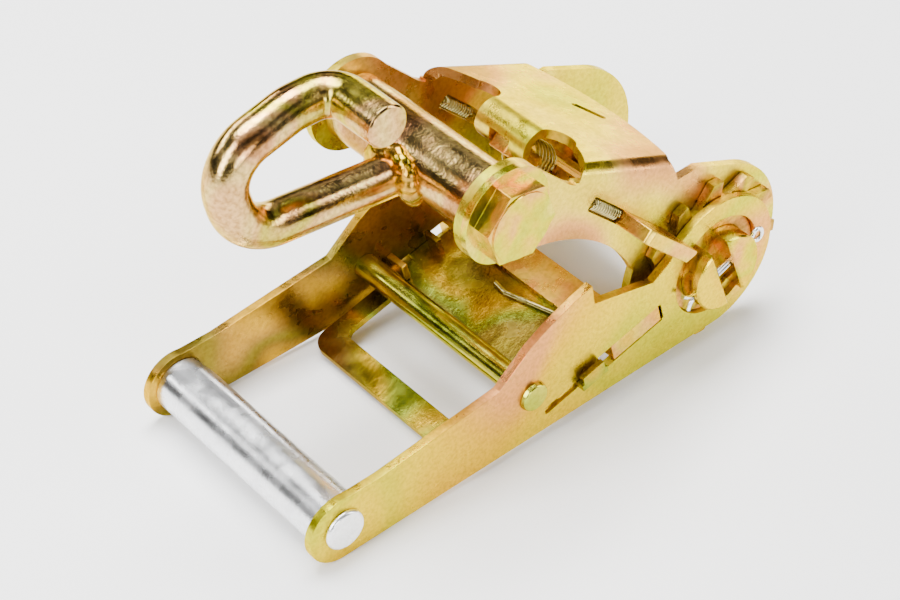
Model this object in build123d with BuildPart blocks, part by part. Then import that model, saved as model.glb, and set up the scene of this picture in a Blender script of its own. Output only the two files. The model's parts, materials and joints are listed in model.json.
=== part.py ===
from build123d import *

import os
from math import cos, radians, sin

# Ratchet tensioner for 50 mm webbing, with a round-bar hook on its end bolt.
# The origin is on the mandrel's axis, half way between the side plates. +Y runs along the
# mandrel, +Z is up, and the handle and the frame reach out towards -X. All in millimetres.

# directions from the mandrel's axis
tilt = 3.02  # the handle's lower edge, closed, rises this much towards the mandrel
frame_angle = 159.02  # the web, from +X towards +Z
lock_angle = 138.82
drive_angle = 196.52
spool_angle = 22.6  # through the middles of the mandrel's two halves

# across the tool
plate = 2.5
frame_half = 29.9
handle_half = 35.4
fit = 0.1  # clearance of a running fit
wheel = 2.6
wheel_in = 30.1
collar_out = 33.9

# mandrel and wheels
mandrel_r = 11.5
mandrel_half = 40.0
strap_gap = 5.6
teeth = 12
tip_r = 25.4
root_r = 19.9
tip_land, ramp_end = 8.0, 22.0  # degrees after the steep flank
lock_phase = 23.7  # degrees from a steep flank to the locking pawl
collar_r = 15.0
split_r = 1.4
split_y = 37.4
split_reach = 13.0
split_head_start, split_head_r = 11.7, 2.4

# base frame: u runs from the mandrel to the end bolt, v up to the web
bolt_u, bolt_v = 87.4, 20.7
bolt_r = 6.0
eye_r = 13.3
web_v = 30.6
web_back, web_front = 28.4, 63.6
web_bow = 5.0
lobe_r = 27.8
bend_r = 4.0
curl_u, curl_r, curl_half, curl_turn = 56.0, 5.5, 9.3, 215

# handle: lengthways and up, before the tilt
head_r = 21.0
grip_x, grip_z = -128.4, -10.9
grip_end_r = 10.14
grip_r, grip_bore_r = 7.75, 5.5
grip_pin_r, grip_pin_head_r = 4.0, 6.0
rod_x, rod_z, rod_r, rod_head_r = -66.3, -5.9, 3.6, 4.4

# locking pawl, along its own direction
lock_tip, lock_back = 21.8, 44.7
lock_thick, lock_half = 4.0, 41.5
lock_body_half = 27.2
lock_slot_start, lock_slot_end = 21.4, 58.5
tang_end, tang_half = 64.0, 3.7
lock_bevel, lock_bevel_top = 2.4, 0.9
lock_corner = 1.2
tang_corner = 1.0
lock_spring_end, lock_spring_long = 55.4, 5.6
lock_spring_r, lock_spring_wall = 5.6, 1.2
slot_spring_start, slot_spring_end = 49.5, 57.8
slot_spring_r, slot_spring_wall = 2.0, 0.7

# driving pawl and its pull plate, along their own direction
window_start, window_end, window_wide = 20.6, 44.2, 6.0
ear_slot_end, ear_slot_wide = 63.5, 2.4
drive_end, drive_mid, drive_tip, drive_back = 21.4, 28.5, 25.9, 38.8
drive_thick = 5.6
pull_thick = 2.0
pull_half, arm_wide = 31.0, 5.6
pull_window = (60.5, 82.0)
pull_end = 90.0
pull_corner, pull_window_corner = 5.0, 3.0
let_in = 3.0  # of the pull plate in the driving pawl's back
rivet_s, rivet_y, rivet_r = 37.2, 20.0, 1.3
ear_start, ear_end, ear_half = 43.0, 52.0, 37.8
lip_thick, lip_high = 1.5, 3.6
upstand_start, upstand_thick, upstand_wide = 45.0, 1.5, 5.4
upstand_low, upstand_high = -0.1, 6.9
spring_seat = 57.0
drive_spring_y, drive_spring_q = 28.6, 4.2
drive_spring_r, drive_spring_wall, drive_spring_long = 2.5, 0.9, 5.2
lug_thick, lug_high, lug_drop = 2.0, 5.6, 0.2

# hook
hook_r = 5.6
tube_r = 9.3
hook_path = ((-79.4, 53.15), (-126.6, 58.8), (-131.2, 82.2), (-110.0, 87.6), (-97.2, 87.6))
hook_tip_y = -20.5
tube_gap = 0.3
weld_r, weld_long, weld_slope = 8.2, 5.6, 2.0

frame_in = frame_half - plate
handle_in = handle_half - plate


def side_plane(angle):
    """Plane across the mandrel: x along the angle, z along +Y."""
    a = radians(angle)
    return Plane(origin=(0, 0, 0), x_dir=(cos(a), 0, sin(a)), z_dir=(0, 1, 0))


def flat_plane(angle):
    """Plane through the mandrel's axis: x along the angle, y along +Y."""
    a = radians(angle)
    return Plane(origin=(0, 0, 0), x_dir=(cos(a), 0, sin(a)), z_dir=(-sin(a), 0, cos(a)))


def polar(radius, angle):
    return (radius * cos(radians(angle)), radius * sin(radians(angle)))


def save(part, name):
    part.label = name
    export_step(part, f"parts/{name}.step")


frame_side = side_plane(frame_angle)
frame_flat = Plane(origin=(0, 0, 0), x_dir=frame_side.x_dir, z_dir=frame_side.y_dir)
handle_side = Plane(origin=(0, 0, 0), x_dir=(cos(radians(tilt)), 0, sin(radians(tilt))), z_dir=(0, -1, 0))
lock_side = side_plane(lock_angle)
lock_flat = flat_plane(lock_angle)
drive_side = side_plane(drive_angle)
drive_flat = Plane(origin=(0, 0, 0), x_dir=drive_side.x_dir, z_dir=drive_side.y_dir)
spool_side = side_plane(spool_angle)
bolt_at = frame_side.from_local_coords(Vector(bolt_u, bolt_v, 0))
grip_at = handle_side.from_local_coords(Vector(grip_x, grip_z, 0))
rod_at = handle_side.from_local_coords(Vector(rod_x, rod_z, 0))


def across(at, y=0.0):
    """Plane square to the mandrel through a point of its cross-section, facing +Y."""
    return Plane(origin=(at.X, y, at.Z), x_dir=(1, 0, 0), z_dir=(0, 1, 0))


os.makedirs("parts", exist_ok=True)

# base frame: one stamping, two side plates and the web on top

with BuildPart() as base_frame:
    low_end = polar(lobe_r, -4)
    eye_top = (80.0, 31.75)
    eye_low = (83.5, 8.0)
    for y in (-frame_half, frame_in):
        with BuildSketch(frame_side.offset(y)):
            with BuildLine():
                Polyline((0, lobe_r), (16.5, lobe_r), (23.2, 24.6), (web_back, web_v), (web_front, web_v),
                         (web_front, 26.0), (66.0, 26.4), eye_top)
                ThreePointArc(eye_top, (bolt_u + eye_r, bolt_v), eye_low)
                Line(eye_low, (72.0, 9.0))
                ThreePointArc((72.0, 9.0), (47.0, 8.6), low_end)
                ThreePointArc(low_end, polar(lobe_r, -90), polar(lobe_r, 180))
                ThreePointArc(polar(lobe_r, 180), polar(lobe_r, 135), (0, lobe_r))
            make_face()
            Circle(mandrel_r + fit, mode=Mode.SUBTRACT)
            with Locations((bolt_u, bolt_v)):
                Circle(bolt_r + fit, mode=Mode.SUBTRACT)
        extrude(amount=plate)
    with BuildSketch(frame_flat.offset(web_v - plate)):
        with BuildLine():
            Polyline((web_back, frame_half), (web_front, frame_half), (web_front, -frame_half),
                     (web_back, -frame_half))
            ThreePointArc((web_back, -frame_half), (web_back - web_bow, 0), (web_back, frame_half))
        make_face()
        with Locations((31.4, 1.5)):
            SlotOverall(10.0, 2.0, rotation=113, mode=Mode.SUBTRACT)
    extrude(amount=plate)
    for y, v, radius in ((frame_in, web_v - plate, bend_r - plate), (frame_half, web_v, bend_r)):
        bends = base_frame.edges().filter_by(Axis((0, 0, 0), frame_side.x_dir))
        bends = bends.filter_by(
            lambda e: abs(abs(e.center().Y) - y) < fit
            and abs(e.center().dot(frame_side.y_dir) - v) < fit
            and e.length > 10
        )
        fillet(bends, radius)
    # the front edge sweeps back from both corners to the notches beside the tongue
    with BuildSketch(frame_flat.offset(web_v - bend_r)):
        with BuildLine():
            Line((curl_u, 0), (curl_u, curl_half))
            ThreePointArc((curl_u, curl_half), (51.9, 12.6), (54.0, 18.6))
            ThreePointArc((54.0, 18.6), (57.6, 24.9), (63.2, frame_half + 0.6))
            Polyline((63.2, frame_half + 0.6), (web_front + 2, frame_half + 0.6), (web_front + 2, 0),
                     (curl_u, 0))
        make_face()
        mirror(about=Plane.XZ)
    extrude(amount=bend_r + 1, mode=Mode.SUBTRACT)
    # the tongue at the web's front edge, rolled down and back under
    with BuildSketch(frame_side.offset(-curl_half)):
        curl_at = (curl_u, web_v - curl_r)
        with BuildLine():
            rolled_out = CenterArc(curl_at, curl_r, 90, -curl_turn)
            rolled_in = CenterArc(curl_at, curl_r - plate, 90, -curl_turn)
            Line(rolled_out @ 0, rolled_in @ 0)
            Line(rolled_out @ 1, rolled_in @ 1)
        make_face()
    extrude(amount=2 * curl_half)
    # the tongue's window, which guides the locking pawl's tang
    with BuildSketch(lock_side.offset(-tang_half - fit)):
        with Locations((60.0, 0)):
            Rectangle(18.0, lock_thick + 4 * fit)
    extrude(amount=2 * (tang_half + fit), mode=Mode.SUBTRACT)
    # the locking pawl's slots
    for y in (-frame_half, frame_in):
        with BuildSketch(lock_side.offset(y)):
            with Locations(((lock_slot_start + lock_slot_end) / 2, 0)):
                RectangleRounded(lock_slot_end - lock_slot_start, lock_thick + 2 * fit, 0.6)
        extrude(amount=plate, mode=Mode.SUBTRACT)
save(base_frame.part, "base_frame")

# end bolt with a flanged hexagon head, and its thin nut

flange_r, flange_thick = 13.3, 2.0
head_flats, head_high, head_turn = 19.0, 5.5, 51.6
nut_flats, nut_high, nut_turn = 17.0, 4.0, 20.0
face_chamfer = 0.4
bolt_past_nut = 0.4


def hexagon(y, side, flats, high, turn):
    """Hexagon that stands on the plane at y, its far face turned down to a circle."""
    base = Plane(origin=(bolt_at.X, y, bolt_at.Z), x_dir=(1, 0, 0), z_dir=(0, side, 0))
    with BuildPart() as hexagon_part:
        with BuildSketch(base):
            RegularPolygon(flats / 2, 6, major_radius=False, rotation=turn)
        extrude(amount=high - face_chamfer)
        with BuildSketch(base.offset(high - face_chamfer)):
            Circle(flats / 2 - face_chamfer / 2)
        extrude(amount=face_chamfer)
    return hexagon_part.part


bolt_head = hexagon(-frame_half - flange_thick, -1, head_flats, head_high, head_turn)
nut_blank = hexagon(frame_half, 1, nut_flats, nut_high, nut_turn)

with BuildPart() as end_bolt:
    add(bolt_head)
    with BuildSketch(across(bolt_at, -frame_half - flange_thick)):
        Circle(flange_r)
    extrude(amount=flange_thick)
    with BuildSketch(across(bolt_at, -frame_half)):
        Circle(bolt_r)
    extrude(amount=2 * frame_half + nut_high + bolt_past_nut)
    chamfer(end_bolt.edges().filter_by(GeomType.CIRCLE).sort_by(Axis.Y)[-1], face_chamfer)
save(end_bolt.part, "end_bolt")

with BuildPart() as end_nut:
    add(nut_blank)
    with BuildSketch(across(bolt_at, frame_half)):
        Circle(bolt_r)
    extrude(amount=nut_high, mode=Mode.SUBTRACT)
save(end_nut.part, "end_nut")

# hook: a tube that turns on the end bolt, with a bent round bar welded on

with BuildPart() as hook_tube:
    with BuildSketch(across(bolt_at, tube_gap - frame_in)):
        Circle(tube_r)
        Circle(bolt_r + fit, mode=Mode.SUBTRACT)
    extrude(amount=2 * (frame_in - tube_gap))
    chamfer(hook_tube.edges().filter_by(GeomType.CIRCLE).filter_by(lambda e: e.radius > bolt_r + 1), 0.6)
save(hook_tube.part, "hook_tube")

hook_points = [handle_side.from_local_coords(Vector(x, z, 0)) for x, z in hook_path]
hook_points.append(hook_points[-1] + Vector(0, hook_tip_y, 0))
leg_way = (hook_points[1] - hook_points[0]).normalized()
leg_start = Plane(origin=hook_points[0], z_dir=leg_way)

with BuildPart() as hook_bar:
    with BuildLine() as bar_line:
        FilletPolyline(*hook_points, radius=(15.0, 11.5, 16.0, 6.8))
    with BuildSketch(leg_start):
        Circle(hook_r)
    sweep(path=bar_line.wires()[0])
    chamfer(hook_bar.faces().sort_by(Axis.Y)[0].edges(), 0.5)
    with BuildSketch(across(bolt_at, -12)):
        Circle(tube_r)
    extrude(amount=24, mode=Mode.SUBTRACT)
save(hook_bar.part, "hook_bar")

with BuildPart() as hook_weld:
    with BuildSketch(leg_start):
        Circle(weld_r)
        Circle(hook_r, mode=Mode.SUBTRACT)
    extrude(amount=weld_long)
    weld_end = hook_weld.faces().sort_by(Axis(leg_start.origin, leg_way))[-1]
    chamfer(weld_end.edges().sort_by(SortBy.RADIUS)[-1], weld_slope)
    with BuildSketch(across(bolt_at, -12)):
        Circle(tube_r)
    extrude(amount=24, mode=Mode.SUBTRACT)
save(hook_weld.part, "hook_weld")

# mandrel: two half-moon shafts with a slot for the strap between them


def half_moon(side):
    """Sketch of one half's section, in the spool's own plane."""
    with BuildSketch(mode=Mode.PRIVATE) as moon:
        Circle(mandrel_r)
        with Locations((-side * mandrel_r, 0)):
            Rectangle(2 * mandrel_r + strap_gap, 3 * mandrel_r, mode=Mode.SUBTRACT)
    return moon.sketch


for side, half_name in ((1, "mandrel_half_upper"), (-1, "mandrel_half_lower")):
    with BuildPart() as mandrel:
        with BuildSketch(spool_side.offset(-mandrel_half)):
            add(half_moon(side))
        extrude(amount=2 * mandrel_half)
        for end in (0, -1):
            chamfer(mandrel.faces().sort_by(Axis.Y)[end].edges(), 0.5)
        for pin_side in (-1, 1):
            with BuildSketch(Plane(origin=(0, pin_side * split_y, 0), z_dir=spool_side.x_dir)):
                Circle(split_r)
            extrude(amount=2 * mandrel_r, both=True, mode=Mode.SUBTRACT)
    save(mandrel.part, half_name)

flank = lock_angle - lock_phase  # a steep flank's direction
tooth_step = 360 / teeth

for y, end_name in ((-wheel_in - wheel, "near"), (wheel_in, "far")):
    with BuildPart() as ratchet_wheel:
        with BuildSketch(side_plane(0).offset(y)):
            Circle(tip_r)
            for k in range(teeth):
                start = flank + k * tooth_step
                with BuildLine():
                    Polyline(polar(tip_r + 1, -start - tip_land), polar(tip_r - 0.05, -start - tip_land),
                             polar(root_r, -start - ramp_end), polar(root_r, -start - tooth_step),
                             polar(tip_r + 1, -start - tooth_step), close=True)
                make_face(mode=Mode.SUBTRACT)
        extrude(amount=wheel)
        with BuildSketch(spool_side.offset(y)):
            add(half_moon(1))
            add(half_moon(-1))
        extrude(amount=wheel, mode=Mode.SUBTRACT)
    save(ratchet_wheel.part, f"ratchet_wheel_{end_name}")

for y, end_name in ((-collar_out, "near"), (wheel_in + wheel, "far")):
    with BuildPart() as collar:
        with BuildSketch(spool_side.offset(y)):
            Circle(collar_r)
            Circle(mandrel_r, mode=Mode.SUBTRACT)
        extrude(amount=collar_out - wheel_in - wheel)
    save(collar.part, f"bearing_collar_{end_name}")

for pin_side, end_name in ((-1, "near"), (1, "far")):
    pin_start = Plane(origin=(0, pin_side * split_y, 0), z_dir=spool_side.x_dir)
    with BuildPart() as split_pin:
        with BuildSketch(pin_start):
            Circle(split_r)
        extrude(amount=split_reach, both=True)
        with BuildSketch(pin_start.offset(split_head_start)):
            Circle(split_head_r)
        extrude(amount=split_reach - split_head_start)
    save(split_pin.part, f"split_pin_{end_name}")

# handle: two plates held apart by the grip and the cross rod

lower_z = grip_z - grip_end_r
grip_end_top = (grip_x + 2.0, grip_z + 9.3)
for y, end_name in ((-handle_in, "near"), (handle_half, "far")):
    with BuildPart() as handle_plate:
        with BuildSketch(handle_side.offset(-y)):
            with BuildLine():
                Polyline(grip_end_top, (-116.4, -1.6), (-97.2, 0.4), (-77.4, 2.4), (-73.3, 5.8), (-67.3, 10.6),
                         (-60.6, 14.3), (-52.1, 17.7), (-46.0, 19.4), (-45.0, 12.8),
                         (-34.3, 10.2), (-24.0, 7.6), (-17.6, 11.5))
                ThreePointArc((-17.6, 11.5), (head_r, 0), (0, lower_z))
                Line((0, lower_z), (grip_x, lower_z))
                ThreePointArc((grip_x, lower_z), (grip_x - grip_end_r, grip_z), grip_end_top)
            make_face()
            Circle(collar_r + fit, mode=Mode.SUBTRACT)
            with Locations((grip_x, grip_z)):
                Circle(grip_pin_r, mode=Mode.SUBTRACT)
            with Locations((rod_x, rod_z)):
                Circle(rod_r, mode=Mode.SUBTRACT)
        extrude(amount=plate)
        # window for the driving pawl, then the narrow slot for the pull plate's ear
        with BuildSketch(drive_side.offset(y)):
            with Locations(((window_start + window_end) / 2, 0)):
                RectangleRounded(window_end - window_start, window_wide, 0.8)
            with Locations(((window_end + ear_slot_end) / 2 - 1, 0)):
                Rectangle(ear_slot_end - window_end + 2, ear_slot_wide)
        extrude(amount=-plate, mode=Mode.SUBTRACT)
    save(handle_plate.part, f"handle_plate_{end_name}")

with BuildPart() as grip_tube:
    with BuildSketch(across(grip_at, -handle_in)):
        Circle(grip_r)
        Circle(grip_bore_r, mode=Mode.SUBTRACT)
    extrude(amount=2 * handle_in)
save(grip_tube.part, "grip_tube")


def headed_rod(at, radius, head_radius, head_high):
    """Rod through both handle plates, with a head on each outer face."""
    with BuildPart() as rod:
        with BuildSketch(across(at, -handle_half)):
            Circle(radius)
        extrude(amount=2 * handle_half)
        for side in (-1, 1):
            outer_face = Plane(origin=(at.X, side * handle_half, at.Z), x_dir=(1, 0, 0), z_dir=(0, side, 0))
            with BuildSketch(outer_face):
                Circle(head_radius)
            extrude(amount=head_high, taper=18)
    return rod.part


save(headed_rod(grip_at, grip_pin_r, grip_pin_head_r, 1.5), "grip_pin")
save(headed_rod(rod_at, rod_r, rod_head_r, 1.6), "cross_rod")

# lugs welded inside the handle plates, which the pull plate's springs push against
with BuildPart() as spring_lugs:
    for side in (-1, 1):
        with BuildSketch(drive_side.offset(side * handle_in)):
            with Locations((spring_seat + lug_thick / 2, drive_spring_q - lug_drop)):
                Rectangle(lug_thick, lug_high)
        extrude(amount=-side * (handle_in - drive_spring_y + drive_spring_r))
save(spring_lugs.part, "spring_lugs")

with BuildPart() as drive_springs:
    for side in (-1, 1):
        coil_end = drive_side.from_local_coords(Vector(spring_seat, drive_spring_q, side * drive_spring_y))
        with BuildSketch(Plane(origin=coil_end, z_dir=-drive_side.x_dir)):
            Circle(drive_spring_r)
            Circle(drive_spring_r - drive_spring_wall, mode=Mode.SUBTRACT)
        extrude(amount=drive_spring_long)
save(drive_springs.part, "drive_springs")

# locking pawl: a plate across both side plates, sprung towards the wheels

with BuildPart() as lock_pawl:
    with BuildSketch(lock_flat.offset(-lock_thick / 2)):
        with BuildLine():
            Polyline((lock_tip, 0), (lock_tip, lock_half), (lock_back - lock_corner, lock_half),
                     (lock_back, lock_half - lock_corner), (lock_back, tang_half),
                     (tang_end - tang_corner, tang_half), (tang_end, tang_half - tang_corner),
                     (tang_end, 0), close=True)
        make_face()
        mirror(about=Plane.XZ)
        with Locations((lock_tip, 0)):
            Rectangle(3.0, 2 * lock_body_half, mode=Mode.SUBTRACT)
    extrude(amount=lock_thick)
    # the bevelled edge that slides up the teeth
    with BuildSketch(lock_side.offset(-lock_half)):
        with BuildLine():
            Polyline((lock_tip - 1, -3.0), (lock_tip + lock_bevel, -3.0), (lock_tip, lock_bevel_top),
                     (lock_tip - 1, lock_bevel_top), close=True)
        make_face()
    extrude(amount=2 * lock_half, mode=Mode.SUBTRACT)
save(lock_pawl.part, "lock_pawl")

with BuildPart() as lock_spring:
    with BuildSketch(Plane(origin=lock_side.x_dir * lock_spring_end, z_dir=-lock_side.x_dir)):
        Circle(lock_spring_r)
        Circle(lock_spring_r - lock_spring_wall, mode=Mode.SUBTRACT)
    extrude(amount=lock_spring_long)
save(lock_spring.part, "lock_spring")

with BuildPart() as slot_springs:
    for side in (-1, 1):
        coil_end = lock_side.from_local_coords(Vector(slot_spring_end, 0, side * (frame_half - plate / 2)))
        with BuildSketch(Plane(origin=coil_end, z_dir=-lock_side.x_dir)):
            Circle(slot_spring_r)
            Circle(slot_spring_r - slot_spring_wall, mode=Mode.SUBTRACT)
        extrude(amount=slot_spring_end - slot_spring_start)
save(slot_springs.part, "slot_springs")

# driving pawl: a bar across the handle, with the pull plate let into its back

with BuildPart() as drive_pawl:
    with BuildSketch(drive_flat.offset(-drive_thick / 2)):
        with BuildLine():
            Polyline((drive_mid, 0), (drive_mid, wheel_in), (drive_tip, wheel_in), (drive_tip, handle_in),
                     (drive_end, handle_in), (drive_end, handle_half - 0.2), (drive_back, handle_half - 0.2),
                     (drive_back, 0), close=True)
        make_face()
        mirror(about=Plane.XZ)
    extrude(amount=drive_thick)
    with BuildSketch(drive_flat.offset(-pull_thick / 2)):
        with Locations((drive_back, 0)):
            Rectangle(2 * let_in, 2 * pull_half)
    extrude(amount=pull_thick, mode=Mode.SUBTRACT)
    with BuildSketch(drive_flat.offset(-drive_thick / 2)):
        with GridLocations(0, 2 * rivet_y, 1, 2):
            with Locations((rivet_s, 0)):
                Circle(rivet_r)
    extrude(amount=drive_thick, mode=Mode.SUBTRACT)
save(drive_pawl.part, "drive_pawl")

with BuildPart() as pawl_rivets:
    with BuildSketch(drive_flat.offset(-drive_thick / 2)):
        with GridLocations(0, 2 * rivet_y, 1, 2):
            with Locations((rivet_s, 0)):
                Circle(rivet_r)
    extrude(amount=drive_thick)
save(pawl_rivets.part, "pawl_rivets")

with BuildPart() as pull_plate:
    with BuildSketch(drive_flat.offset(-pull_thick / 2)):
        with BuildLine():
            Polyline((drive_back - let_in, 0), (drive_back - let_in, pull_half), (ear_start, pull_half),
                     (ear_start, ear_half), (ear_end, ear_half), (ear_end, pull_half),
                     (pull_end - pull_corner, pull_half))
            JernArc((pull_end - pull_corner, pull_half), (1, 0), pull_corner, -90)
            Polyline((pull_end, pull_half - pull_corner), (pull_end, 0), (drive_back - let_in, 0))
        make_face()
        mirror(about=Plane.XZ)
        with Locations(((pull_window[0] + pull_window[1]) / 2, 0)):
            RectangleRounded(pull_window[1] - pull_window[0], 2 * (pull_half - arm_wide), pull_window_corner,
                             mode=Mode.SUBTRACT)
        with GridLocations(0, 2 * rivet_y, 1, 2):
            with Locations((rivet_s, 0)):
                Circle(rivet_r, mode=Mode.SUBTRACT)
    extrude(amount=pull_thick)
    # upstanding ears that carry the springs
    for side in (-1, 1):
        with BuildSketch(drive_side.offset(side * pull_half)):
            with Locations((upstand_start + upstand_thick / 2, (upstand_low + upstand_high) / 2)):
                Rectangle(upstand_thick, upstand_high - upstand_low)
        extrude(amount=-side * upstand_wide)
    # the ears' ends, turned up outside the handle plates
    for side in (-1, 1):
        with BuildSketch(drive_side.offset(side * ear_half)):
            with Locations(((ear_start + ear_end) / 2, lip_high / 2)):
                Rectangle(ear_end - ear_start - 1.5, lip_high)
        extrude(amount=-side * lip_thick)
save(pull_plate.part, "pull_plate")

# wire spring that lies on the pull plate, hooked at its free end
wire_r = 0.8
wire_route = ((39.8, -29.5), (40.1, -15.7), (44.2, 1.1), (43.6, 5.7))
wire_lift = pull_thick / 2 + wire_r
wire_points = [drive_flat.from_local_coords(Vector(s, -y, wire_lift)) for s, y in wire_route]
with BuildPart() as spring_wire:
    with BuildLine() as wire_line:
        FilletPolyline(*wire_points, radius=1.6)
    with BuildSketch(Plane(origin=wire_points[0], z_dir=wire_points[1] - wire_points[0])):
        Circle(wire_r)
    sweep(path=wire_line.wires()[0])
save(spring_wire.part, "spring_wire")
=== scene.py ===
import json
import math

import bpy
from mathutils import Matrix, Vector, noise


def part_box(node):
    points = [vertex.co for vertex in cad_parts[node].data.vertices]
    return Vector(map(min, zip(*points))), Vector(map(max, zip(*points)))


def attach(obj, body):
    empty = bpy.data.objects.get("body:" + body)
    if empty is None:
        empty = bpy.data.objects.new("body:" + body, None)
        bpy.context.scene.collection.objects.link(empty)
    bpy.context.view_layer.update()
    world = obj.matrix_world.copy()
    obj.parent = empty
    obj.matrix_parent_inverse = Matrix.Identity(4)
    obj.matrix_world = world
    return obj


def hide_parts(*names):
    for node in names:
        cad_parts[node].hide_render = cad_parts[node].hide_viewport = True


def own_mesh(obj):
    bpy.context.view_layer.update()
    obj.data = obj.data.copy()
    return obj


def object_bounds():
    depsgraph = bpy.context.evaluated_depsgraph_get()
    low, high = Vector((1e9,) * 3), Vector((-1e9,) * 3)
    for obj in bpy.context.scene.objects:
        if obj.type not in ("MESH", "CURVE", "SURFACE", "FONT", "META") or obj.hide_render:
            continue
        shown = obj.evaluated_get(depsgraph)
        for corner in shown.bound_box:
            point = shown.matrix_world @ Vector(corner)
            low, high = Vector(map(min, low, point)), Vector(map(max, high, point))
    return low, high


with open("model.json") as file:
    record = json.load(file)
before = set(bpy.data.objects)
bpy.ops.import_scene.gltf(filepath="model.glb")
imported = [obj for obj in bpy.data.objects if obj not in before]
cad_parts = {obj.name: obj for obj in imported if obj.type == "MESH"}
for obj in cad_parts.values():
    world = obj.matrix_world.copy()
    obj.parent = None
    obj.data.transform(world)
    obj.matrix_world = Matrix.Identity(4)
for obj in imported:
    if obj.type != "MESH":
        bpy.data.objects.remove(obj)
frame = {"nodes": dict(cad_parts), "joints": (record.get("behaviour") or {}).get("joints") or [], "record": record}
cadBox = [list(corner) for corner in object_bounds()]
bpy.ops.object.select_all(action="DESELECT")
scene = bpy.context.scene
nodes = frame["nodes"]
jointByName = {joint["name"]: joint for joint in frame["joints"]}
print("frame loaded:", len(nodes), "nodes")

view = {
    "place": (-0.36647, -0.34220, 0.38023),
    "aim": (-0.06044, 0.0, 0.00682),
    "roll": 1.797,  # degrees
    "lens": 90.49,
    "shift": (-0.01123, -0.03356),
}

bpy.ops.object.camera_add(location=view["place"])
camera = bpy.context.object
camera.name = "camera"
look = (Vector(view["aim"]) - Vector(view["place"])).to_track_quat("-Z", "Y")
roll = Matrix.Rotation(math.radians(view["roll"]), 4, "Z")
camera.matrix_world = Matrix.Translation(view["place"]) @ look.to_matrix().to_4x4() @ roll
camera.data.lens = view["lens"]
camera.data.shift_x, camera.data.shift_y = view["shift"]
camera.data.clip_end = 20
scene.camera = camera

# place, aim, size across and up, watts
softboxes = {
    "boxAbove": ((-0.05, 0.25, 1.05), (-0.05, 0, 0), 0.9, 0.55, 34),
    "boxLeft": ((-1.0, -0.15, 0.60), (-0.06, 0, 0.02), 0.35, 0.9, 14),
    "boxRight": ((0.75, -0.65, 0.45), (-0.05, 0, 0.0), 0.22, 0.9, 8),
    "boxBehind": ((-0.35, 1.0, 0.55), (-0.06, 0, 0.02), 1.1, 0.22, 9),
    "boxFront": ((-0.35, -0.95, 0.30), (-0.06, 0, 0.0), 0.45, 0.25, 5),
    "boxBack": ((0.95, 0.70, 0.22), (-0.02, 0, 0.03), 0.55, 0.32, 4.5),
}


def addSoftbox(name, place, aim, across, up, watts):
    bpy.ops.object.light_add(type="AREA", location=place)
    box = bpy.context.object
    box.name = name
    box.rotation_euler = (Vector(aim) - Vector(place)).to_track_quat("-Z", "Y").to_euler()
    box.data.shape = "RECTANGLE"
    box.data.size, box.data.size_y = across, up
    box.data.energy = watts


for name, (place, aim, across, up, watts) in softboxes.items():
    addSoftbox(name, place, aim, across, up, watts)

# from the ground up: pale, a dark band at eye level, pale, a dark band and a pale ceiling
studio = {
    "low": (1.0, 1.0, 1.0, 1),
    "band": (0.015, 0.014, 0.013, 1),
    "high": (0.75, 0.75, 0.75, 1),
    "top": (1.0, 1.0, 1.0, 1),
    "stops": ((0.52, "band"), (0.69, "band"), (0.76, "high"), (0.82, "band"), (0.90, "band"), (0.94, "high")),
    "strength": 1.0,
}

world = bpy.data.worlds.new("studio")
scene.world = world
world.use_nodes = True
links = world.node_tree.links
worldNodes = world.node_tree.nodes
background = worldNodes["Background"]
background.inputs["Strength"].default_value = studio["strength"]
coords = worldNodes.new("ShaderNodeTexCoord")
split = worldNodes.new("ShaderNodeSeparateXYZ")
ramp = worldNodes.new("ShaderNodeValToRGB")
spread = worldNodes.new("ShaderNodeMapRange")
spread.inputs["From Min"].default_value = -1
links.new(coords.outputs["Generated"], split.inputs[0])
links.new(split.outputs["Z"], spread.inputs["Value"])
links.new(spread.outputs["Result"], ramp.inputs["Fac"])
links.new(ramp.outputs["Color"], background.inputs["Color"])
stops = ramp.color_ramp.elements
stops[0].position, stops[0].color = 0.49, studio["low"]
stops[1].position, stops[1].color = 1.0, studio["top"]
for position, tone in studio["stops"]:
    stops.new(position).color = studio[tone]

floorLook = {"size": 6.0, "tone": (0.97, 0.97, 0.97, 1), "roughness": 0.8}

bpy.ops.mesh.primitive_plane_add(size=floorLook["size"], location=(0, 0, cadBox[0][2] - 0.0002))
studioFloor = bpy.context.object
studioFloor.name = "studio_floor"
floorPaint = bpy.data.materials.new("floorPaint")
floorPaint.use_nodes = True
floorShader = floorPaint.node_tree.nodes["Principled BSDF"]
floorShader.inputs["Base Color"].default_value = floorLook["tone"]
floorShader.inputs["Roughness"].default_value = floorLook["roughness"]
studioFloor.data.materials.append(floorPaint)
print("camera, lights and floor ready")

limeTone = (0.42, 0.46, 0.006)
yellowTone = (0.74, 0.53, 0.003)
strawTone = (0.76, 0.60, 0.060)
roseTone = (0.72, 0.29, 0.11)
bronzeTone = (0.36, 0.18, 0.045)
greenTone = (0.24, 0.40, 0.035)
oliveTone = (0.20, 0.18, 0.010)
goldTone = (0.74, 0.42, 0.008)
brownTone = (0.20, 0.10, 0.025)
paleRose = (0.64, 0.30, 0.14)
paleStraw = (0.70, 0.56, 0.16)

zincEdge = (1.0, 0.84, 0.42)  # the film's colour at a grazing view

# where the tones lie along the noise, which keeps to the middle of its range
firstTone, toneSpan = 0.34, 0.32

# scales of the finer noises, in waves per metre
fineNoise = {"speckle": 900, "shine": 160, "grain": 1400, "wave": 85}

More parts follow.
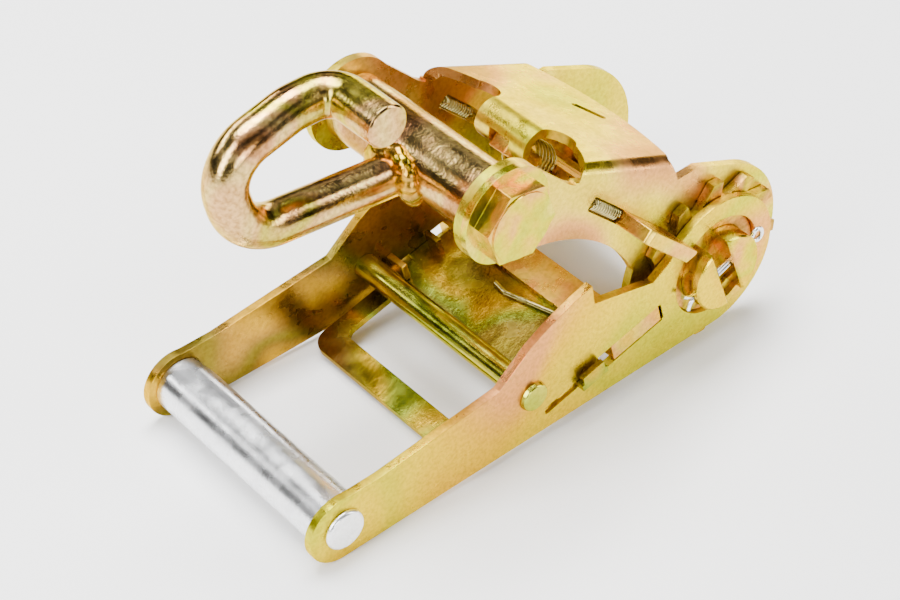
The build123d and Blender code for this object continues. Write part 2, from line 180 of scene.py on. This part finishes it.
# tones run along the film's thickness; cloud is how many of its patches lie along a metre
finishes = {
    "yellow_zinc_frame": {
        "tones": (bronzeTone, roseTone, strawTone, yellowTone, limeTone, strawTone, roseTone),
        "cloud": 20, "shine": (0.24, 0.38), "grain": 0.10, "dirt": 0.35,
    },
    "yellow_zinc_handle": {
        "tones": (roseTone, goldTone, yellowTone, yellowTone, limeTone, yellowTone, roseTone),
        "cloud": 17, "shine": (0.24, 0.38), "grain": 0.10, "dirt": 0.35,
    },
    "yellow_zinc_bolt": {
        "tones": (strawTone, limeTone, yellowTone, roseTone, limeTone),
        "cloud": 70, "shine": (0.16, 0.28), "grain": 0.08, "dirt": 0.30,
    },
    "yellow_zinc_hook": {
        "tones": (bronzeTone, paleRose, paleStraw, paleRose, limeTone, paleRose),
        "cloud": 34, "shine": (0.13, 0.24), "grain": 0.14, "dirt": 0.65,
    },
    "yellow_zinc_mandrel": {
        "tones": (yellowTone, goldTone, limeTone, yellowTone, roseTone),
        "cloud": 50, "shine": (0.16, 0.30), "grain": 0.08, "dirt": 0.35,
    },
    "yellow_zinc_wheel": {
        "tones": (bronzeTone, yellowTone, oliveTone, roseTone, yellowTone),
        "cloud": 70, "shine": (0.24, 0.40), "grain": 0.14, "dirt": 0.6,
    },
    "yellow_zinc_rod": {
        "tones": (limeTone, strawTone, greenTone, yellowTone),
        "cloud": 40, "shine": (0.14, 0.24), "grain": 0.06, "dirt": 0.3,
    },
    "yellow_zinc_pawl": {
        "tones": (goldTone, strawTone, roseTone, goldTone),
        "cloud": 60, "shine": (0.22, 0.34), "grain": 0.12, "dirt": 0.35,
    },
    # the plate's dark olive, brown and green tones are painted shade for its place inside the handle, under the
    # web
    "yellow_zinc_plate": {
        "tones": (oliveTone, brownTone, greenTone, goldTone, oliveTone, brownTone),
        "cloud": 30, "shine": (0.16, 0.28), "grain": 0.10, "dirt": 0.4,
    },
    "bright_zinc": {
        "tones": ((0.86, 0.87, 0.88), (0.93, 0.94, 0.95), (0.82, 0.83, 0.85)),
        "cloud": 90, "shine": (0.22, 0.32), "grain": 0.06, "dirt": 0.15, "edge": (1.0, 1.0, 1.0),
    },
    "spring_steel": {
        "tones": ((0.50, 0.42, 0.14), (0.62, 0.56, 0.26), (0.34, 0.30, 0.10)),
        "cloud": 120, "shine": (0.20, 0.34), "grain": 0.08, "dirt": 0.5,
    },
    "weld": {
        "tones": (oliveTone, goldTone, bronzeTone, oliveTone),
        "cloud": 160, "shine": (0.16, 0.30), "grain": 0.20, "dirt": 0.6,
    },
}


def addNoise(tree, coords, scale, detail, warp=0.0):
    cloud = tree.nodes.new("ShaderNodeTexNoise")
    cloud.inputs["Scale"].default_value = scale
    cloud.inputs["Detail"].default_value = detail
    cloud.inputs["Distortion"].default_value = warp
    tree.links.new(coords.outputs["Object"], cloud.inputs["Vector"])
    return cloud.outputs["Fac"]


def makePlating(name, look):
    metal = bpy.data.materials.new(name)
    metal.use_nodes = True
    tree = metal.node_tree
    shader = tree.nodes["Principled BSDF"]
    shader.inputs["Metallic"].default_value = 1.0
    shader.inputs["Specular Tint"].default_value = (*look.get("edge", zincEdge), 1)
    coords = tree.nodes.new("ShaderNodeTexCoord")
    # the passivate's colour drifts in wide patches
    tones = tree.nodes.new("ShaderNodeValToRGB")
    tones.color_ramp.interpolation = "B_SPLINE"
    while len(tones.color_ramp.elements) < len(look["tones"]):
        tones.color_ramp.elements.new(0.5)
    for k, tone in enumerate(look["tones"]):
        stop = tones.color_ramp.elements[k]
        stop.position = firstTone + toneSpan * k / (len(look["tones"]) - 1)
        stop.color = (*tone, 1)
    tree.links.new(addNoise(tree, coords, look["cloud"], 1.6, warp=0.35), tones.inputs["Fac"])
    # fine mottling and small dull spots
    mottle = tree.nodes.new("ShaderNodeMix")
    mottle.data_type = "RGBA"
    mottle.blend_type = "MULTIPLY"
    mottle.inputs["Factor"].default_value = look["dirt"]
    speckle = tree.nodes.new("ShaderNodeValToRGB")
    dull, clean = speckle.color_ramp.elements
    dull.position, dull.color = 0.32, (0.35, 0.28, 0.20, 1)
    clean.position, clean.color = 0.62, (1, 1, 1, 1)
    tree.links.new(addNoise(tree, coords, fineNoise["speckle"], 4), speckle.inputs["Fac"])
    tree.links.new(tones.outputs["Color"], mottle.inputs["A"])
    tree.links.new(speckle.outputs["Color"], mottle.inputs["B"])
    tree.links.new(mottle.outputs["Result"], shader.inputs["Base Color"])
    # uneven shine
    shine = tree.nodes.new("ShaderNodeMapRange")
    shine.inputs["From Min"].default_value, shine.inputs["From Max"].default_value = 0.35, 0.65
    shine.inputs["To Min"].default_value, shine.inputs["To Max"].default_value = look["shine"]
    tree.links.new(addNoise(tree, coords, fineNoise["shine"], 5, warp=0.3), shine.inputs["Value"])
    tree.links.new(shine.outputs["Result"], shader.inputs["Roughness"])
    # rolled grain, with a slow waviness under it
    grain = tree.nodes.new("ShaderNodeBump")
    grain.inputs["Strength"].default_value = look["grain"]
    grain.inputs["Distance"].default_value = 0.0004
    tree.links.new(addNoise(tree, coords, fineNoise["grain"], 5), grain.inputs["Height"])
    wave = tree.nodes.new("ShaderNodeBump")
    wave.inputs["Strength"].default_value = 0.10
    wave.inputs["Distance"].default_value = 0.0016
    tree.links.new(addNoise(tree, coords, fineNoise["wave"], 2), wave.inputs["Height"])
    tree.links.new(wave.outputs["Normal"], grain.inputs["Normal"])
    tree.links.new(grain.outputs["Normal"], shader.inputs["Normal"])
    return metal


plating = {slot: makePlating(slot, look) for slot, look in finishes.items()}
# the far plate's inner face, shaded inside the handle, gets a darker brown and gold copy of the handle's finish:
# painted shade
farShadeTones = (brownTone, goldTone, bronzeTone, oliveTone, brownTone, goldTone)
farShadeLook = dict(finishes["yellow_zinc_handle"], tones=farShadeTones, cloud=26)
shadedPlateCopies = {"handle_plate_far": makePlating("yellow_zinc_handle_painted_shade", farShadeLook)}
slotOf = {part["node"]: part["material_slot"] for part in frame["record"]["subparts"]}
for nodeName, node in nodes.items():
    node.data.materials.clear()
    node.data.materials.append(plating[slotOf[nodeName]])
print("finishes ready:", len(plating))


def selectOnly(piece):
    bpy.ops.object.select_all(action="DESELECT")
    piece.select_set(True)
    bpy.context.view_layer.objects.active = piece


def applyModifiers(piece):
    selectOnly(piece)
    for modifier in list(piece.modifiers):
        bpy.ops.object.modifier_apply(modifier=modifier.name)


def joined(pieces):
    bpy.ops.object.select_all(action="DESELECT")
    for piece in pieces:
        piece.select_set(True)
    bpy.context.view_layer.objects.active = pieces[0]
    if len(pieces) > 1:
        bpy.ops.object.join()
    return bpy.context.object


def finishPiece(piece, name, body, slot, *replaced):
    selectOnly(piece)
    bpy.ops.object.transform_apply(location=True, rotation=True, scale=True)
    piece.name = name
    piece.data.name = name
    piece.data.materials.clear()
    piece.data.materials.append(plating[slot])
    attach(piece, body)
    if replaced:
        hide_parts(*replaced)


flatAngle, sharpAngle, smoothAngle = 0.5, 32, 38  # degrees

# width and steps of each node's broken edges
edgeBreaks = {
    "base_frame": (0.00035, 2),
    "handle_plate_near": (0.00035, 2),
    "handle_plate_far": (0.00035, 2),
    "pull_plate": (0.00035, 2),
    "lock_pawl": (0.00040, 2),
    "drive_pawl": (0.00045, 2),
    "ratchet_wheel_near": (0.00025, 2),
    "ratchet_wheel_far": (0.00025, 2),
    "mandrel_half_upper": (0.00030, 2),
    "mandrel_half_lower": (0.00030, 2),
    "bearing_collar_near": (0.00030, 2),
    "bearing_collar_far": (0.00030, 2),
    "end_bolt": (0.00045, 3),
    "end_nut": (0.00045, 3),
    "grip_tube": (0.00040, 2),
    "grip_pin": (0.00060, 3),
    "cross_rod": (0.00080, 4),
    "spring_lugs": (0.00030, 2),
    "hook_bar": (0.00020, 2),
    "hook_tube": (0.00020, 2),
}
bodyOf = {}
for bodyName, members in frame["record"]["behaviour"]["bodies"].items():
    for member in members:
        bodyOf[member] = bodyName


# a copy of the node, with its sharp edges broken, takes the node's place
def breakEdges(nodeName, width, steps):
    selectOnly(nodes[nodeName])
    bpy.ops.object.duplicate()
    piece = bpy.context.object
    piece.parent = None
    bpy.ops.object.mode_set(mode="EDIT")
    bpy.ops.mesh.select_all(action="SELECT")
    bpy.ops.mesh.remove_doubles(threshold=1e-6)
    bpy.ops.mesh.dissolve_limited(angle_limit=math.radians(flatAngle))
    bpy.ops.object.mode_set(mode="OBJECT")
    rounding = piece.modifiers.new("rounding", "BEVEL")
    rounding.width = width
    rounding.segments = steps
    rounding.limit_method = "ANGLE"
    rounding.angle_limit = math.radians(sharpAngle)
    applyModifiers(piece)
    bpy.ops.object.shade_smooth_by_angle(angle=math.radians(smoothAngle))
    flats = piece.modifiers.new("flats", "WEIGHTED_NORMAL")
    flats.keep_sharp = True
    flats.weight = 80
    applyModifiers(piece)
    finishPiece(piece, nodeName + "_finished", bodyOf[nodeName], slotOf[nodeName], nodeName)
    # the far handle plate takes the darker copy of the handle's finish, which is painted shade
    if nodeName in shadedPlateCopies:
        piece.data.materials[0] = shadedPlateCopies[nodeName]


for nodeName, (width, steps) in edgeBreaks.items():
    breakEdges(nodeName, width, steps)
print("edges broken:", len(edgeBreaks))

across = Vector((0, 1, 0))  # along the mandrel
wireSides, stepsPerTurn = 8, 18

# start and end are distances from the mandrel's axis; side and lift are off the pawl's middle
coils = {
    "lock_spring": {"start": 0.0449, "end": 0.0556, "sides": (0,), "lift": 0.0, "radius": 0.0050,
                    "wire": 0.0006, "turns": 6},
    "slot_springs": {"start": 0.0449, "end": 0.0580, "sides": (-0.02865, 0.02865), "lift": 0.0,
                     "radius": 0.0016, "wire": 0.00042, "turns": 11},
    "drive_springs": {"start": 0.0466, "end": 0.0570, "sides": (-0.0286, 0.0286), "lift": 0.0042,
                      "radius": 0.0020, "wire": 0.00045, "turns": 8},
}


def coilAt(base, way, length, spec):
    radius, wire, turns = spec["radius"], spec["wire"], spec["turns"]
    bpy.ops.object.select_all(action="DESELECT")
    bpy.ops.mesh.primitive_circle_add(vertices=wireSides, radius=wire, location=(radius, 0, 0),
                                      rotation=(math.pi / 2, 0, 0))
    coil = bpy.context.object
    bpy.ops.object.transform_apply(location=True, rotation=True)
    winding = coil.modifiers.new("winding", "SCREW")
    winding.axis = "Z"
    winding.steps = winding.render_steps = stepsPerTurn
    winding.iterations = turns
    winding.screw_offset = (length - 2 * wire) / turns
    winding.use_merge_vertices = False
    applyModifiers(coil)
    bpy.ops.object.mode_set(mode="EDIT")
    bpy.ops.mesh.select_all(action="DESELECT")
    bpy.ops.mesh.select_non_manifold()
    bpy.ops.mesh.edge_face_add()
    bpy.ops.mesh.select_all(action="SELECT")
    bpy.ops.mesh.normals_make_consistent(inside=False)
    bpy.ops.object.mode_set(mode="OBJECT")
    bpy.ops.object.shade_smooth()
    turn = way.to_track_quat("Z", "Y").to_matrix().to_4x4()
    coil.matrix_world = Matrix.Translation(base + way * wire) @ turn
    return coil


def makeSprings(nodeName, body, way):
    spec = coils[nodeName]
    restLength = spec["end"] - spec["start"]
    lift = way.cross(across) * spec["lift"]
    starts = [way * spec["start"] + across * side + lift for side in spec["sides"]]
    piece = joined([coilAt(start, way, restLength, spec) for start in starts])
    finishPiece(piece, nodeName + "_coiled", body, "spring_steel", nodeName)
    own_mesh(piece)


for nodeName, body, jointName in (("lock_spring", "frame", "lock_pawl_slide"),
                                  ("slot_springs", "frame", "lock_pawl_slide"),
                                  ("drive_springs", "handle", "drive_pawl_slide")):
    joint = jointByName[jointName]
    makeSprings(nodeName, body, Vector(joint["axis"]))
print("springs wound")

# bent wire through the mandrel's ends
splitPin = {
    "wire": 0.00066,
    "angle": 22.6,  # of the pin, from +X towards +Z
    # along the pin and beside it: an opened leg, the eye, and back to the other leg
    "route": ((-0.0142, 0.0034), (-0.0128, 0.0014), (-0.0112, 0.0007), (0.0105, 0.0007), (0.0122, 0.0009),
              (0.0134, 0.0021), (0.0150, 0.0019), (0.0158, 0.0), (0.0150, -0.0019), (0.0134, -0.0021),
              (0.0122, -0.0009), (0.0105, -0.0007), (-0.0112, -0.0007), (-0.0130, -0.0013),
              (-0.0140, -0.0030)),
}


def makeSplitPin(nodeName):
    low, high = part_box(nodeName)
    middle = (low[1] + high[1]) / 2
    angle = math.radians(splitPin["angle"])
    along = Vector((math.cos(angle), 0, math.sin(angle)))
    beside = Vector((-math.sin(angle), 0, math.cos(angle)))
    bent = bpy.data.curves.new(nodeName, "CURVE")
    bent.dimensions = "3D"
    bent.bevel_depth = splitPin["wire"]
    bent.bevel_resolution = 4
    bent.use_fill_caps = True
    spline = bent.splines.new("NURBS")
    spline.points.add(len(splitPin["route"]) - 1)
    for point, (far, off) in zip(spline.points, splitPin["route"]):
        point.co = (*(along * far + beside * off + across * middle), 1)
    spline.order_u = 3
    spline.use_endpoint_u = True
    spline.resolution_u = 6
    piece = bpy.data.objects.new(nodeName, bent)
    scene.collection.objects.link(piece)
    selectOnly(piece)
    bpy.ops.object.convert(target="MESH")
    bpy.ops.object.shade_smooth()
    finishPiece(bpy.context.object, nodeName + "_bent", "mandrel", "bright_zinc", nodeName)


for nodeName in ("split_pin_near", "split_pin_far"):
    makeSplitPin(nodeName)
print("split pins bent")

# beads laid round the hook's bar where it meets its tube
weld = {
    "beads": 15,
    "size": 0.0031,
    "sizeDrift": 0.30,
    "squeeze": (0.85, 1.15, 1.0),
    "tubeRadius": 0.0090,
    "barRadius": 0.0060,
    "widen": (1.05, 1.04),  # of the ring of beads, across and up
    "legTilt": 9.84,  # degrees, of the bar from level
    "stand": 0.0009,
    "wobble": 0.0008,
    "voxel": 0.00034,
    "ripple": 0.00025,
}


def makeWeld():
    bolt = Vector(jointByName["hook_swing"]["pos_m"])
    low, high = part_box("hook_weld")
    tilt = math.radians(180 - weld["legTilt"])
    legWay = Vector((math.cos(tilt), 0, math.sin(tilt)))
    legUp = Vector((-math.sin(tilt), 0, math.cos(tilt)))
    middle = (Vector(low) + Vector(high)) / 2
    offset = (middle - bolt).dot(legUp)
    beads = []
    for k in range(weld["beads"]):
        turn = 2 * math.pi * k / weld["beads"]
        rise = weld["barRadius"] * math.sin(turn) + offset
        reach = math.sqrt(max(weld["tubeRadius"] ** 2 - rise ** 2, 0))
        wobble = noise.noise(Vector((k * 1.7, 3.1, 0.4)))
        outward = reach + weld["stand"] + weld["wobble"] * wobble
        place = bolt + legWay * outward + legUp * rise * weld["widen"][1]
        place += across * weld["barRadius"] * weld["widen"][0] * math.cos(turn)
        size = weld["size"] * (1 + weld["sizeDrift"] * noise.noise(Vector((k * 2.3, 0.7, 5.2))))
        bpy.ops.mesh.primitive_ico_sphere_add(subdivisions=3, radius=size, location=place)
        bead = bpy.context.object
        bead.scale = weld["squeeze"]
        beads.append(bead)
    piece = joined(beads)
    bpy.ops.object.transform_apply(location=True, rotation=True, scale=True)
    merge = piece.modifiers.new("merge", "REMESH")
    merge.mode = "VOXEL"
    merge.voxel_size = weld["voxel"]
    soften = piece.modifiers.new("soften", "SMOOTH")
    soften.factor = 0.5
    soften.iterations = 16
    applyModifiers(piece)
    for vertex in piece.data.vertices:
        ripple = noise.noise(vertex.co * 330) + 0.25 * noise.noise(vertex.co * 900)
        vertex.co += vertex.normal * ripple * weld["ripple"]
    bpy.ops.object.shade_smooth()
    finishPiece(piece, "hook_weld_bead", "hook", "weld", "hook_weld")


makeWeld()
print("weld laid")
